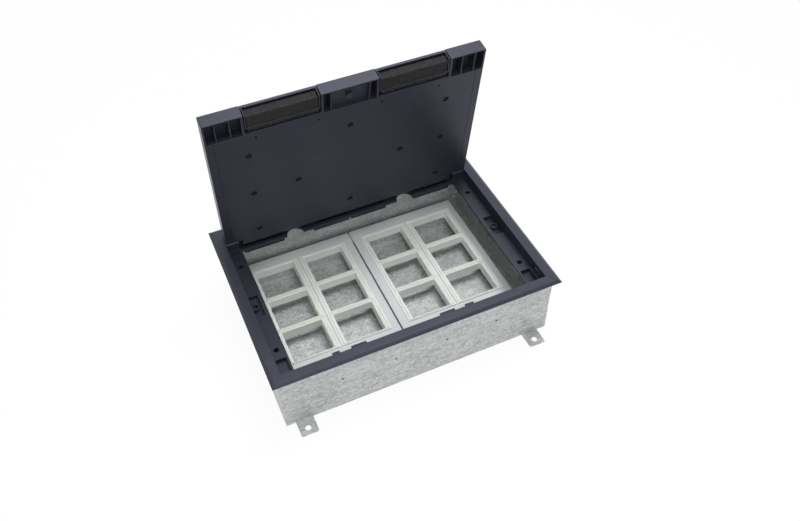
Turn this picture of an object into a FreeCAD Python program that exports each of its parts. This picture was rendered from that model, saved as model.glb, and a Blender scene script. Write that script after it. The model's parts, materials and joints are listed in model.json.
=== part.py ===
"""Floor socket box: a folded steel back box, a plastic trim frame with a hinged lid,
and two carriers that hold twelve module frames.

Millimetres. The origin is in the middle of the box's underside, +X runs along the hinge,
+Y from the front to the hinge side, +Z up. The lid stands open.
"""
import FreeCAD, Part
import math
import os

doc = FreeCAD.newDocument("FloorSocketBox")

# ---------------------------------------------------------------- driving sizes
SIZES = [
    # back box
    ("box_width", 314.0), ("box_depth", 221.0), ("box_height", 82.5),
    ("steel", 1.2), ("bend_radius", 2.0), ("end_flange", 12.0),
    ("lug_width", 19.3), ("lug_reach", 18.8), ("lug_pitch_x", 274.0),
    ("lug_pitch_y", 242.8), ("lug_hole", 6.5),
    ("knockout", 20.0), ("knockout_pitch", 60.0), ("knockout_level", 23.5),
    ("score_width", 0.6), ("score_depth", 0.6),
    ("pilot_hole", 3.2), ("pilot_level", 48.0),
    ("rivet", 3.2), ("rivet_inset", 5.4), ("rivet_low", 20.5), ("rivet_high", 48.7),
    # trim frame
    ("trim_width", 328.0), ("trim_depth", 234.0), ("trim_rim", 3.0), ("trim_edge", 0.8),
    ("trim_slope", 3.3), ("recess_width", 302.0), ("recess_depth", 208.0),
    ("ledge_level", 70.5), ("ledge_thick", 3.0), ("trim_wall", 2.5),
    ("well_width", 270.0), ("well_front", 95.0), ("well_back", 87.0),
    ("scoop", 10.0), ("scoop_place", 70.0),
    ("fixing_x", 143.7), ("fixing_y", 63.0), ("fixing_bore", 5.8), ("fixing_shank", 3.4),
    ("fixing_boss", 9.0), ("fixing_seat", 63.5), ("bracket_level", 61.5),
    ("pocket_depth", 5.5), ("pocket_floor", 2.5),
    ("clamp_x", 146.2), ("clamp_y", 1.2), ("clamp_boss", 9.4), ("clamp_bore", 6.4),
    ("clamp_shank", 4.9), ("clamp_hole", 5.0),
    # hinge and lid
    ("hinge_y", 97.3), ("hinge_z", 79.4), ("lid_open", 80.4), ("pin", 4.0),
    ("pin_bore", 4.1), ("lid_half", 150.6), ("lid_front", 200.7), ("lid_back", 6.1),
    ("lid_top", 6.1), ("lid_bottom", 8.5), ("hinge_notch", 131.6),
    ("panel_half", 142.2), ("panel_front", 174.8), ("panel_back", 7.6),
    ("panel_thick", 2.5), ("plate_thick", 1.5), ("floor_recess", 5.6),
    ("deck", 2.0), ("cell_top", 3.3), ("cell_front", 199.2), ("cell_back", 174.8),
    ("outlet_in", 31.0), ("outlet_out", 110.0), ("outlet_back", 176.0),
    ("flap_thick", 2.2), ("flap_axis_y", 178.0), ("flap_barrel", 1.6),
    ("flap_pintle", 2.0), ("flap_play", 0.35),
    # carriers and module frames
    ("rail_top", 22.0), ("carrier_in", 1.0), ("carrier_out", 140.0),
    ("carrier_front", 78.0), ("carrier_back", 105.5), ("carrier_skirt", 11.0),
    ("column_middle", 71.3), ("column_pitch", 61.6), ("row_pitch", 48.6),
    ("row_middle", 18.0), ("frame_wide", 59.6), ("frame_deep", 48.3),
    ("frame_flange", 1.5), ("frame_skirt", 9.0), ("aperture_wide", 45.4),
    ("aperture_deep", 40.4), ("aperture_wall", 1.3),
]

sheet = doc.addObject("Spreadsheet::Sheet", "Sizes")
for row, (alias, number) in enumerate(SIZES, start=1):
    sheet.set("A%d" % row, alias.replace("_", " "))
    sheet.set("B%d" % row, str(number))
    sheet.setAlias("B%d" % row, alias)
doc.recompute()
NAMED = dict(SIZES)


def size(text):
    """The value of a formula over the sheet's names."""
    return float(sheet.evalExpression(bind(text)))


def bind(text):
    """A formula in the sheet's names, as an expression of the document."""
    out = ""
    word = ""
    for letter in str(text) + " ":
        if letter.isalnum() or letter == "_" or (letter == "." and word[:1].isdigit()):
            word += letter
            continue
        out += "Sizes." + word if word in NAMED else word
        word = ""
        out += letter
    return out.strip()


# ---------------------------------------------------------------- modelling helpers
def origin_plane(body, role):
    return next(f for f in body.Origin.OriginFeatures if f.Role == role)


def new_body(label):
    body = doc.addObject("PartDesign::Body", label)
    body.Label = label
    return body


def new_sketch(body, name, role="XY_Plane", offset=None):
    """A sketch on one of the body's own origin planes, lifted by a formula."""
    sketch = body.newObject("Sketcher::SketchObject", name)
    sketch.AttachmentSupport = [(origin_plane(body, role), "")]
    sketch.MapMode = "FlatFace"
    if offset is not None:
        sketch.setExpression("AttachmentOffset.Base.z", bind(offset))
    return sketch


def pin_down(sketch, geometry, point, x, y):
    """Fix a point of the sketch at two formulas."""
    for axis, kind, text in ((-2, "DistanceX", x), (-1, "DistanceY", y)):
        number = size(text)
        if abs(number) < 1e-9:
            sketch.addConstraint(Sketcher.Constraint("PointOnObject", geometry, point, axis))
            continue
        where = sketch.addConstraint(
            Sketcher.Constraint(kind, -1, 1, geometry, point, number))
        sketch.setExpression("Constraints[%d]" % where, bind(text))


def outline(sketch, points):
    """A closed polygon whose corners are formulas."""
    corners = [FreeCAD.Vector(size(x), size(y), 0) for x, y in points]
    first = sketch.GeometryCount
    count = len(corners)
    for i in range(count):
        sketch.addGeometry(Part.LineSegment(corners[i], corners[(i + 1) % count]), False)
    for i in range(count):
        sketch.addConstraint(Sketcher.Constraint(
            "Coincident", first + i, 2, first + (i + 1) % count, 1))
    for i, (x, y) in enumerate(points):
        pin_down(sketch, first + i, 1, x, y)


def rectangle(sketch, left, right, low, high):
    outline(sketch, [(left, low), (right, low), (right, high), (left, high)])


def circle(sketch, x, y, diameter):
    at = FreeCAD.Vector(size(x), size(y), 0)
    number = size(diameter) / 2
    index = sketch.addGeometry(
        Part.Circle(at, FreeCAD.Vector(0, 0, 1), number), False)
    pin_down(sketch, index, 3, x, y)
    where = sketch.addConstraint(Sketcher.Constraint("Diameter", index, 2 * number))
    sketch.setExpression("Constraints[%d]" % where, bind(diameter))


def pad(body, name, sketch, length, both=False, reverse=False):
    feature = body.newObject("PartDesign::Pad", name)
    feature.Profile = sketch
    feature.SideType = "Symmetric" if both else "One side"
    feature.Reversed = reverse
    feature.setExpression("Length", bind(length))
    doc.recompute()
    return feature


def pocket(body, name, sketch, depth=None, both=False, reverse=False):
    """A pocket of a depth, or through everything; it must take material away."""
    before = body.Shape.Volume
    feature = body.newObject("PartDesign::Pocket", name)
    feature.Profile = sketch
    feature.SideType = "Symmetric" if both else "One side"
    feature.Reversed = reverse
    if depth is None:
        feature.Type = "ThroughAll"
    else:
        feature.setExpression("Length", bind(depth))
    doc.recompute()
    if body.Shape.Volume > before - 1e-3:
        raise RuntimeError("%s of %s cuts nothing" % (name, body.Label))
    return feature


def edges_where(body, keep):
    """The names of the body's edges that a test on their two ends keeps."""
    names = []
    for i, edge in enumerate(body.Shape.Edges, start=1):
        if len(edge.Vertexes) == 2 and keep(edge.Vertexes[0].Point, edge.Vertexes[1].Point):
            names.append("Edge%d" % i)
    return names


def fillet(body, name, radius, keep):
    edges = edges_where(body, keep)
    if not edges:
        raise RuntimeError("%s of %s finds no edge" % (name, body.Label))
    base = body.Tip
    feature = body.newObject("PartDesign::Fillet", name)
    feature.Base = (base, edges)
    feature.setExpression("Radius", bind(radius))
    doc.recompute()
    return feature


def place(item, x=0, y=0, z=0):
    """Move a sub-part by formulas."""
    for axis, text in (("x", x), ("y", y), ("z", z)):
        item.setExpression("Placement.Base." + axis, bind(text))


def on_hinge(item):
    """Put a sub-part that is drawn about the hinge axis on the hinge, lid open."""
    item.Placement = FreeCAD.Placement(
        FreeCAD.Vector(), FreeCAD.Rotation(FreeCAD.Vector(-1, 0, 0), size("lid_open")))
    item.setExpression("Placement.Rotation.Angle", bind("lid_open"))
    place(item, "0", "hinge_y", "hinge_z")


def turned(points, axis_x=0.0, axis_y=0.0):
    """A solid of revolution about a vertical axis, from (radius, height) corners."""
    corners = [FreeCAD.Vector(axis_x + r, axis_y, z) for r, z in points]
    face = Part.Face(Part.makePolygon(corners + corners[:1]))
    return face.revolve(FreeCAD.Vector(axis_x, axis_y, 0), FreeCAD.Vector(0, 0, 1), 360)


def group(label, solids):
    """Identical fasteners, which share one node."""
    item = doc.addObject("Part::Feature", label)
    item.Label = label
    item.Shape = Part.makeCompound(solids)
    return item


import Sketcher

nodes = []


def finished(item):
    nodes.append(item)
    return item


def box_body():
    """Floor, front and back folded from one sheet, with four fixing lugs."""
    body = new_body("box_body")
    fold = new_sketch(body, "fold", "YZ_Plane")
    y, inner = "box_depth / 2", "box_depth / 2 - steel"
    outline(fold, [("-" + y, "0"), (y, "0"), (y, "box_height"), (inner, "box_height"),
                   (inner, "steel"), ("-(%s)" % inner, "steel"),
                   ("-(%s)" % inner, "box_height"), ("-" + y, "box_height")])
    pad(body, "channel", fold, "box_width", both=True)
    low = lambda a, b: abs(a.z) < 1e-6 and abs(b.z) < 1e-6 and abs(a.x - b.x) > 50
    fillet(body, "bends", "bend_radius", low)

    lugs = new_sketch(body, "lug_outlines")
    for side_x in (-1, 1):
        for side_y in (-1, 1):
            x = "%d * lug_pitch_x / 2" % side_x
            inside = "%d * (box_depth / 2 - 4)" % side_y
            outside = "%d * (box_depth / 2 + lug_reach)" % side_y
            low_y, high_y = (inside, outside) if side_y > 0 else (outside, inside)
            rectangle(lugs, x + " - lug_width / 2", x + " + lug_width / 2", low_y, high_y)
    pad(body, "lugs", lugs, "steel")
    reach = size("box_depth / 2 + lug_reach")
    corner = lambda a, b: (abs(abs(a.y) - reach) < 1e-3 and abs(abs(b.y) - reach) < 1e-3
                           and abs(a.z - b.z) > 0.5)
    fillet(body, "lug_corners", "1.5", corner)

    holes = new_sketch(body, "lug_holes")
    for side_x in (-1, 1):
        for side_y in (-1, 1):
            circle(holes, "%d * lug_pitch_x / 2" % side_x,
                   "%d * lug_pitch_y / 2" % side_y, "lug_hole")
    pocket(body, "lug_bores", holes, both=True)

    for side, name in ((1, "front"), (-1, "back")):
        rings = new_sketch(body, name + "_knockouts", "XZ_Plane", "%d * box_depth / 2" % side)
        for step in range(-2, 3):
            x = "%d * knockout_pitch" % step
            circle(rings, x, "knockout_level", "knockout")
            circle(rings, x, "knockout_level", "knockout - 2 * score_width")
        pocket(body, name + "_scores", rings, "score_depth", reverse=side < 0)

    small = new_sketch(body, "wall_holes", "XZ_Plane")
    for side_x in (-1, 1):
        for level in ("rivet_low", "rivet_high"):
            circle(small, "%d * (box_width / 2 - rivet_inset)" % side_x, level, "rivet")
        for step in (0.5, 1.5):
            circle(small, "%.1f * knockout_pitch" % (side_x * step), "pilot_level", "pilot_hole")
    pocket(body, "wall_bores", small, both=True)
    floor = new_sketch(body, "floor_holes", offset="-1")
    for side_x in (-1, 1):
        circle(floor, "%d * 100" % side_x, "-86", "4")
    pocket(body, "floor_bores", floor, "4", reverse=True)
    return finished(body)


def box_end(side, label):
    """An end wall: a shallow tray with flanges, two brackets and a claw window."""
    body = new_body(label)
    outer = "box_width / 2"
    blank = new_sketch(body, "blank", "YZ_Plane", "%s - end_flange" % outer)
    half = "(box_depth / 2 - steel)"
    rectangle(blank, "-" + half, half, "steel", "box_height")
    pad(body, "tray", blank, "end_flange")
    hollow = new_sketch(body, "hollow", "YZ_Plane", "%s - end_flange" % outer)
    rectangle(hollow, "-(%s - steel)" % half, "%s - steel" % half, "2 * steel",
              "box_height + 5")
    pocket(body, "flanges", hollow, "end_flange - steel", reverse=True)

    tabs = new_sketch(body, "bracket_outlines", "XY_Plane", "bracket_level - steel")
    for step in (-1, 1):
        rectangle(tabs, "fixing_x - 6", "%s - steel" % outer,
                  "%d * fixing_y - 7" % step, "%d * fixing_y + 7" % step)
    pad(body, "brackets", tabs, "steel")
    bores = new_sketch(body, "bracket_holes")
    for step in (-1, 1):
        circle(bores, "fixing_x", "%d * fixing_y" % step, "fixing_shank")
    pocket(body, "bracket_bores", bores, "box_height", reverse=True)

    window = new_sketch(body, "claw_window", "YZ_Plane", outer)
    if side > 0:
        rectangle(window, "clamp_y - 7", "clamp_y + 24", "52", "62")
    else:
        rectangle(window, "-(clamp_y + 24)", "-(clamp_y - 7)", "52", "62")
    pocket(body, "claw_opening", window, "2 * steel")
    rings = new_sketch(body, "knockouts", "YZ_Plane", outer)
    for step in (-1, 0, 1):
        circle(rings, "%d * knockout_pitch" % step, "knockout_level", "knockout")
        circle(rings, "%d * knockout_pitch" % step, "knockout_level",
               "knockout - 2 * score_width")
    pocket(body, "scores", rings, "score_depth")
    holes = new_sketch(body, "rivet_holes", "XZ_Plane")
    for level in ("rivet_low", "rivet_high"):
        circle(holes, "%s - rivet_inset" % outer, level, "rivet")
    pocket(body, "rivet_bores", holes, both=True)
    if side < 0:
        body.Placement = FreeCAD.Placement(
            FreeCAD.Vector(), FreeCAD.Rotation(FreeCAD.Vector(0, 0, 1), 180))
    return finished(body)


def corner_rivets():
    """Eight blind rivets: a domed head inside, the hollow end outside."""
    radius = size("rivet / 2")
    depth = size("2 * steel")
    one = turned([(0.8, 0), (radius, 0), (radius, depth), (3.0, depth),
                  (2.4, depth + 0.9), (1.2, depth + 1.2), (0.8, depth + 1.2)])
    solids = []
    for side_y in (-1, 1):
        for side_x in (-1, 1):
            for level in ("rivet_low", "rivet_high"):
                rivet = one.copy()
                turn = FreeCAD.Rotation(FreeCAD.Vector(1, 0, 0), 90 * side_y)
                spot = FreeCAD.Vector(side_x * size("box_width / 2 - rivet_inset"),
                                      side_y * size("box_depth / 2"), size(level))
                rivet.Placement = FreeCAD.Placement(spot, turn)
                solids.append(rivet)
    return finished(group("corner_rivets", solids))


def trim_frame():
    """The moulded rim, the lid's recess with its ledges, and the hinge blocks."""
    body = new_body("trim_frame")
    half_x, half_y = "trim_width / 2", "trim_depth / 2"
    flange = new_sketch(body, "flange_outline", offset="box_height")
    rectangle(flange, "-" + half_x, half_x, "-" + half_y, half_y)
    pad(body, "flange_edge", flange, "trim_edge")
    lower = new_sketch(body, "slope_foot", offset="box_height + trim_edge")
    rectangle(lower, "-" + half_x, half_x, "-" + half_y, half_y)
    upper = new_sketch(body, "slope_top", offset="box_height + trim_rim")
    rectangle(upper, "-(%s - trim_slope)" % half_x, "%s - trim_slope" % half_x,
              "-(%s - trim_slope)" % half_y, "%s - trim_slope" % half_y)
    slope = body.newObject("PartDesign::AdditiveLoft", "slope")
    slope.Profile = lower
    slope.Sections = [upper]
    doc.recompute()

    wall_x = "(recess_width / 2 + trim_wall)"
    wall_y = "(recess_depth / 2 + trim_wall)"
    skirt = new_sketch(body, "skirt_outline", offset="ledge_level - ledge_thick")
    rectangle(skirt, "-" + wall_x, wall_x, "-" + wall_y, wall_y)
    pad(body, "skirt", skirt, "box_height - ledge_level + ledge_thick")
    wells = new_sketch(body, "well_outlines",
                       offset="ledge_level - pocket_depth - pocket_floor")
    for side in (-1, 1):
        inner, outer = "%d * 136" % side, "%d * %s" % (side, wall_x)
        left, right = (inner, outer) if side > 0 else (outer, inner)
        rectangle(wells, left, right, "-96.5", "-73.5")
        rectangle(wells, left, right, "clamp_y - 17.5", "clamp_y + 17.5")
    pad(body, "wells", wells, "pocket_depth + pocket_floor")
    bosses = new_sketch(body, "boss_outlines", offset="bracket_level")
    for side_x in (-1, 1):
        for side_y in (-1, 1):
            circle(bosses, "%d * fixing_x" % side_x, "%d * fixing_y" % side_y, "fixing_boss")
    pad(body, "bosses", bosses, "ledge_level - bracket_level")

    recess = new_sketch(body, "recess_outline", offset="ledge_level")
    rectangle(recess, "-recess_width / 2", "recess_width / 2",
              "-recess_depth / 2", "recess_depth / 2")
    pocket(body, "lid_recess", recess, "20", reverse=True)
    well = new_sketch(body, "well_opening", offset="50")
    rectangle(well, "-well_width / 2", "well_width / 2", "-well_front", "well_back")
    pocket(body, "service_opening", well, "60", reverse=True)
    scoops = new_sketch(body, "scoop_circles", offset="50")
    for side in (-1, 1):
        circle(scoops, "%d * scoop_place" % side, "well_back", "2 * scoop")
    pocket(body, "scoops", scoops, "60", reverse=True)

    pockets = new_sketch(body, "pocket_outlines", offset="ledge_level - pocket_depth")
    for side in (-1, 1):
        for inner, outer, low, high in (("137.5", "149", "-94", "-75.5"),
                                        ("139.5", "recess_width / 2",
                                         "clamp_y - 15", "clamp_y + 15")):
            near, far = "%d * %s" % (side, inner), "%d * %s" % (side, outer)
            left, right = (near, far) if side > 0 else (far, near)
            rectangle(pockets, left, right, low, high)
    pocket(body, "ledge_pockets", pockets, "pocket_depth + 2", reverse=True)
    screw_boss = new_sketch(body, "clamp_boss_outline", offset="ledge_level - pocket_depth - 1")
    for side in (-1, 1):
        circle(screw_boss, "%d * clamp_x" % side, "clamp_y", "clamp_boss")
    pad(body, "clamp_bosses", screw_boss, "pocket_depth")
    head_bore = new_sketch(body, "clamp_head_bore", offset="66")
    shank_bore = new_sketch(body, "clamp_shank_bore", offset="50")
    for side in (-1, 1):
        circle(head_bore, "%d * clamp_x" % side, "clamp_y", "clamp_bore")
        circle(shank_bore, "%d * clamp_x" % side, "clamp_y", "clamp_hole")
    pocket(body, "clamp_head_bores", head_bore, "10", reverse=True)
    pocket(body, "clamp_shank_bores", shank_bore, "20", reverse=True)
    fixing_bore = new_sketch(body, "fixing_bore", offset="fixing_seat")
    fixing_hole = new_sketch(body, "fixing_hole", offset="50")
    for side_x in (-1, 1):
        for side_y in (-1, 1):
            spot = ("%d * fixing_x" % side_x, "%d * fixing_y" % side_y)
            circle(fixing_bore, *spot, "fixing_bore")
            circle(fixing_hole, *spot, "fixing_shank")
    pocket(body, "fixing_bores", fixing_bore, "12", reverse=True)
    pocket(body, "fixing_holes", fixing_hole, "20", reverse=True)

    catches = new_sketch(body, "catch_windows", "XZ_Plane", "79")
    for side in (-1, 1):
        near, far = "%d * (recess_width / 2 - 1)" % side, "%d * %s" % (side, wall_x)
        left, right = (near, far) if side > 0 else (far, near)
        rectangle(catches, left, right, "72", "80.5")
    pocket(body, "catch_openings", catches, "15", reverse=True)
    troughs = new_sketch(body, "slot_troughs", offset="60.5")
    slots = new_sketch(body, "ledge_slots", offset="62")
    for near, far in (("2.5", "45"), ("84.5", "130")):
        for side in (-1, 1):
            left, right = "%d * %s" % (side, near), "%d * %s" % (side, far)
            left, right = (left, right) if side > 0 else (right, left)
            rectangle(troughs, left + " - 1.5", right + " + 1.5", "90.5", "104")
            rectangle(slots, left, right, "92", "102.5")
    pad(body, "troughs", troughs, "8")
    pocket(body, "slot_openings", slots, "30", reverse=True)

    rear = "recess_depth / 2"
    for name, near in (("left", "-recess_width / 2"), ("right", "recess_width / 2 - 15")):
        cheek = new_sketch(body, "hinge_block_" + name, "YZ_Plane", near)
        outline(cheek, [("90.2", "ledge_level"), (rear, "ledge_level"), (rear, "84.8"),
                        ("96", "84.8"), ("92.5", "83.6"), ("90.2", "80.5")])
        pad(body, "block_" + name, cheek, "15")
    pins = new_sketch(body, "pin_holes", "YZ_Plane", "-149")
    circle(pins, "hinge_y", "hinge_z", "pin")
    pocket(body, "pin_bores", pins, "298", reverse=True)
    return finished(body)


def frame_screws():
    """Four cheese-head screws that hold the trim frame to the end walls' brackets."""
    seat, foot = size("fixing_seat"), size("bracket_level - steel")
    one = turned([(0, foot - 4), (1.6, foot - 4), (1.6, seat), (2.7, seat), (2.7, seat + 2.6),
                  (2.4, seat + 2.9), (0, seat + 2.9)])
    solids = []
    for side_x in (-1, 1):
        for side_y in (-1, 1):
            screw = one.copy()
            screw.Placement.Base = FreeCAD.Vector(
                side_x * size("fixing_x"), side_y * size("fixing_y"), 0)
            solids.append(screw)
    return finished(group("frame_screws", solids))


def clamp(side, name):
    """A floor clamp: a screw through the ledge with a claw that swings out."""
    screw = doc.addObject("Part::Feature", "clamp_screw_" + name)
    screw.Label = "clamp_screw_" + name
    shank = size("clamp_shank / 2")
    screw.Shape = turned([(0, 50), (shank - 0.4, 50), (shank, 50.4), (shank, 66.3),
                          (2.9, 66.3), (2.9, 68.7), (2.6, 69.0), (0, 69.0)])
    place(screw, "%d * clamp_x" % side, "clamp_y", "0")
    finished(screw)

    claw = new_body("clamp_claw_" + name)
    arm = new_sketch(claw, "arm", offset="55")
    outline(arm, [("-3.4", "-5.2"), ("3.4", "-5.2"), ("5.2", "-3.4"), ("5.2", "6"),
                  ("4", "19.5"), ("-4", "19.5"), ("-5.2", "6"), ("-5.2", "-3.4")])
    pad(claw, "plate", arm, "3")
    tooth = new_sketch(claw, "tooth_outline", offset="58")
    rectangle(tooth, "-4", "4", "17", "19.5")
    pad(claw, "tooth", tooth, "2")
    collar = new_sketch(claw, "collar_outline", offset="52")
    circle(collar, "0", "0", "9")
    pad(claw, "collar", collar, "4")
    bore = new_sketch(claw, "thread", offset="50")
    circle(bore, "0", "0", "clamp_shank")
    pocket(claw, "thread_bore", bore, "20", reverse=True)
    place(claw, "%d * clamp_x" % side, "clamp_y", "0")
    return finished(claw)


def hinge_pin(side, name):
    """A plain steel pin with chamfered ends."""
    body = new_body("hinge_pin_" + name)
    start, stop = ("122", "149") if side > 0 else ("-149", "-122")
    half = new_sketch(body, "half_section", "XZ_Plane")
    radius = "pin / 2"
    outline(half, [(start, "0"), (stop, "0"), (stop, radius + " - 0.4"),
                   (stop + " - 0.4", radius), (start + " + 0.4", radius),
                   (start, radius + " - 0.4")])
    turn = body.newObject("PartDesign::Revolution", "turned")
    turn.Profile = half
    turn.ReferenceAxis = (origin_plane(body, "X_Axis"), [""])
    turn.Angle = 360
    doc.recompute()
    place(body, "0", "hinge_y", "hinge_z")
    return finished(body)


PANEL_SCREWS = [(110.0, -143.1), (110.0, -83.2), (110.0, -19.5), (59.8, -84.2)]
MIDDLE_SCREWS = [-146.3, -22.1]
EDGE_SCREWS = [(100.0, -166.9), (35.0, -166.9)]


def panel_screw_places():
    places = [(side * x, y) for x, y in PANEL_SCREWS for side in (-1, 1)]
    return places + [(0.0, y) for y in MIDDLE_SCREWS]


def edge_screw_places():
    return [(side * x, y) for x, y in EDGE_SCREWS for side in (-1, 1)]


def lid_shell():
    """The lid's moulding, drawn closed about the hinge axis and then opened."""
    body = new_body("lid_shell")
    slab = new_sketch(body, "slab_outline", offset="-lid_bottom")
    rectangle(slab, "-lid_half", "lid_half", "-lid_front", "lid_back")
    pad(body, "slab", slab, "lid_bottom + lid_top")
    back = size("lid_back")
    heel = lambda a, b: (abs(a.y - back) < 1e-3 and abs(b.y - back) < 1e-3
                         and abs(a.x - b.x) > 50)
    fillet(body, "heel", "6", heel)
    nose = size("-lid_front")
    tip = lambda a, b: (abs(a.y - nose) < 1e-3 and abs(b.y - nose) < 1e-3
                        and abs(a.z - b.z) > 5)
    fillet(body, "front_corners", "1.2", tip)

    notches = new_sketch(body, "hinge_notches", offset="-20")
    for side in (-1, 1):
        near, far = "%d * hinge_notch" % side, "%d * 160" % side
        left, right = (near, far) if side > 0 else (far, near)
        rectangle(notches, left, right, "-8", "10")
    pocket(body, "hinge_cut", notches, "40", reverse=True)

    tray = new_sketch(body, "floor_recess_outline", offset="lid_top - floor_recess")
    rectangle(tray, "-147.8", "147.8", "-172", "-8")
    pocket(body, "floor_recess", tray, "20", reverse=True)
    seat = new_sketch(body, "panel_seat", offset="-lid_bottom")
    rectangle(seat, "-panel_half", "panel_half", "-panel_front", "-panel_back")
    pocket(body, "panel_recess", seat, "panel_thick + 0.1", reverse=True)

    cells = new_sketch(body, "deck_cells", offset="-lid_bottom")
    for column in range(4):
        for line in range(3):
            left = -139.0 + column * 70.0
            front = -172.5 + line * 54.4
            rectangle(cells, str(left), str(left + 68.0), str(front), str(front + 52.4))
    depth = "lid_bottom + lid_top - floor_recess - deck"
    pocket(body, "deck_hollow", cells, depth, reverse=True)
    pillars = new_sketch(body, "pillar_circles", offset="-lid_bottom + panel_thick + 0.1")
    for x, y in panel_screw_places():
        circle(pillars, str(x), str(y), "8")
    pad(body, "pillars", pillars, "4.5")

    front = new_sketch(body, "front_cells", offset="-lid_bottom")
    for side in (-1, 1):
        for inner, outer in ((139.1, 148.6), (124.6, 137.9), (112.6, 123.4), (21.3, 28.4)):
            left, right = sorted((side * inner, side * outer))
            rectangle(front, str(left), str(right), "-cell_front", "-cell_back")
    pocket(body, "cell_hollow", front, "lid_bottom + cell_top", reverse=True)
    cup = new_sketch(body, "cup_underside", offset="-lid_bottom")
    rectangle(cup, "-20.1", "20.1", "-cell_front", "-cell_back")
    pocket(body, "cup_hollow", cup, "5", reverse=True)
    boss = new_sketch(body, "cup_boss_outline", offset="-lid_bottom + 1")
    circle(boss, "0", "-187", "7.5")
    pad(body, "cup_boss", boss, "5")
    scoop = new_sketch(body, "finger_cup", offset="0")
    rectangle(scoop, "-17", "17", "-196", "-178")
    pocket(body, "finger_hollow", scoop, "20", reverse=True)

    outlets = new_sketch(body, "outlet_outlines", offset="-20")
    for side in (-1, 1):
        near, far = "%d * outlet_in" % side, "%d * outlet_out" % side
        left, right = (near, far) if side > 0 else (far, near)
        rectangle(outlets, left, right, "-210", "-outlet_back")
    pocket(body, "outlets", outlets, "40", reverse=True)

    for side, reverse in ((1, True), (-1, False)):
        deep = new_sketch(body, "pin_bore_%s" % ("right" if side > 0 else "left"),
                          "YZ_Plane", "%d * 121.5" % side)
        circle(deep, "0", "0", "pin_bore")
        pocket(body, "pin_hole_%s" % ("right" if side > 0 else "left"), deep, "12",
               reverse=reverse)
    pintles = new_sketch(body, "pintle_circle", "YZ_Plane", "-112.2")
    circle(pintles, "-flap_axis_y", "lid_top - flap_barrel", "flap_pintle + 0.1")
    pocket(body, "pintle_bore_left", pintles, "84.4", reverse=True)
    pintles = new_sketch(body, "pintle_circle_right", "YZ_Plane", "112.2")
    circle(pintles, "-flap_axis_y", "lid_top - flap_barrel", "flap_pintle + 0.1")
    pocket(body, "pintle_bore_right", pintles, "84.4")

    screws = new_sketch(body, "screw_circles", offset="-20")
    for x, y in panel_screw_places():
        circle(screws, str(x), str(y), "3.4")
    pocket(body, "screw_bores", screws, "40", reverse=True)
    on_hinge(body)
    return finished(body)


def lid_panel():
    """The cover over the lid's ribs, with sunk screw seats."""
    body = new_body("lid_panel")
    gap = 0.25
    sheet_outline = new_sketch(body, "outline", offset="-lid_bottom")
    rectangle(sheet_outline, "-panel_half + %g" % gap, "panel_half - %g" % gap,
              "-panel_front + %g" % gap, "-panel_back - %g" % gap)
    pad(body, "cover", sheet_outline, "panel_thick")
    seats = new_sketch(body, "seats", offset="-lid_bottom")
    for x, y in panel_screw_places():
        circle(seats, str(x), str(y), "7")
    pocket(body, "screw_seats", seats, "1.9", reverse=True)
    bores = new_sketch(body, "bores", offset="-20")
    for x, y in panel_screw_places():
        circle(bores, str(x), str(y), "3.4")
    pocket(body, "screw_bores", bores, "40", reverse=True)
    small = new_sketch(body, "edge_bores", offset="-20")
    for x, y in edge_screw_places():
        circle(small, str(x), str(y), "2.6")
    pocket(body, "edge_screw_bores", small, "40", reverse=True)
    on_hinge(body)
    return finished(body)


def lid_plate():
    """The steel stiffening plate in the lid's floor-covering recess."""
    body = new_body("lid_plate")
    outline_sketch = new_sketch(body, "outline", offset="lid_top - floor_recess")
    rectangle(outline_sketch, "-147.4", "147.4", "-171.6", "-8.4")
    pad(body, "plate", outline_sketch, "plate_thick")
    upright = lambda a, b: abs(a.z - b.z) > 0.5
    fillet(body, "corners", "3", upright)
    holes = new_sketch(body, "holes", offset="-20")
    for x, y in panel_screw_places():
        circle(holes, str(x), str(y), "3.0")
    pocket(body, "thread_bores", holes, "40", reverse=True)
    on_hinge(body)
    return finished(body)


def lid_screws():
    """Ten pan-head screws through the cover and the moulding into the steel plate."""
    seat = -size("lid_bottom") + 1.9
    stop = size("lid_top - floor_recess + plate_thick")
    one = turned([(0, seat - 1.1), (2.6, seat - 1.1), (3.1, seat - 0.6), (3.1, seat),
                  (1.5, seat), (1.5, stop), (0, stop)])
    solids = []
    for x, y in panel_screw_places():
        screw = one.copy()
        screw.Placement.Base = FreeCAD.Vector(x, y, 0)
        solids.append(screw)
    item = group("lid_screws", solids)
    on_hinge(item)
    return finished(item)


def foam_holder(side, name):
    """A thin channel that lines a cable outlet and carries its foam."""
    body = new_body("foam_holder_" + name)
    plan = new_sketch(body, "plan", offset="-lid_bottom")
    low, high = "outlet_in + 1", "outlet_out - 1"
    corners = [(low, "-outlet_back"), (low, "-194"), (low + " + 1.2", "-194"),
               (low + " + 1.2", "-outlet_back - 1.2"), (high + " - 1.2", "-outlet_back - 1.2"),
               (high + " - 1.2", "-194"), (high, "-194"), (high, "-outlet_back")]
    outline(plan, [("%d * (%s)" % (side, x), y) for x, y in corners])
    pad(body, "channel", plan, "lid_bottom + 2.4")
    turns = lambda a, b: abs(a.z - b.z) > 5 and abs(abs(a.y) - 194) < 1e-3
    fillet(body, "cheek_ends", "0.5", turns)
    on_hinge(body)
    return finished(body)


def foam_block(side, name):
    """The soft seal that closes round a cable."""
    body = new_body("foam_" + name)
    plan = new_sketch(body, "plan", offset="-lid_bottom + 0.3")
    near, far = "%d * (outlet_in + 2.3)" % side, "%d * (outlet_out - 2.3)" % side
    left, right = (near, far) if side > 0 else (far, near)
    rectangle(plan, left, right, "-190.7", "-outlet_back - 1.3")
    pad(body, "block", plan, "10.7")
    on_hinge(body)
    return finished(body)


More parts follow.
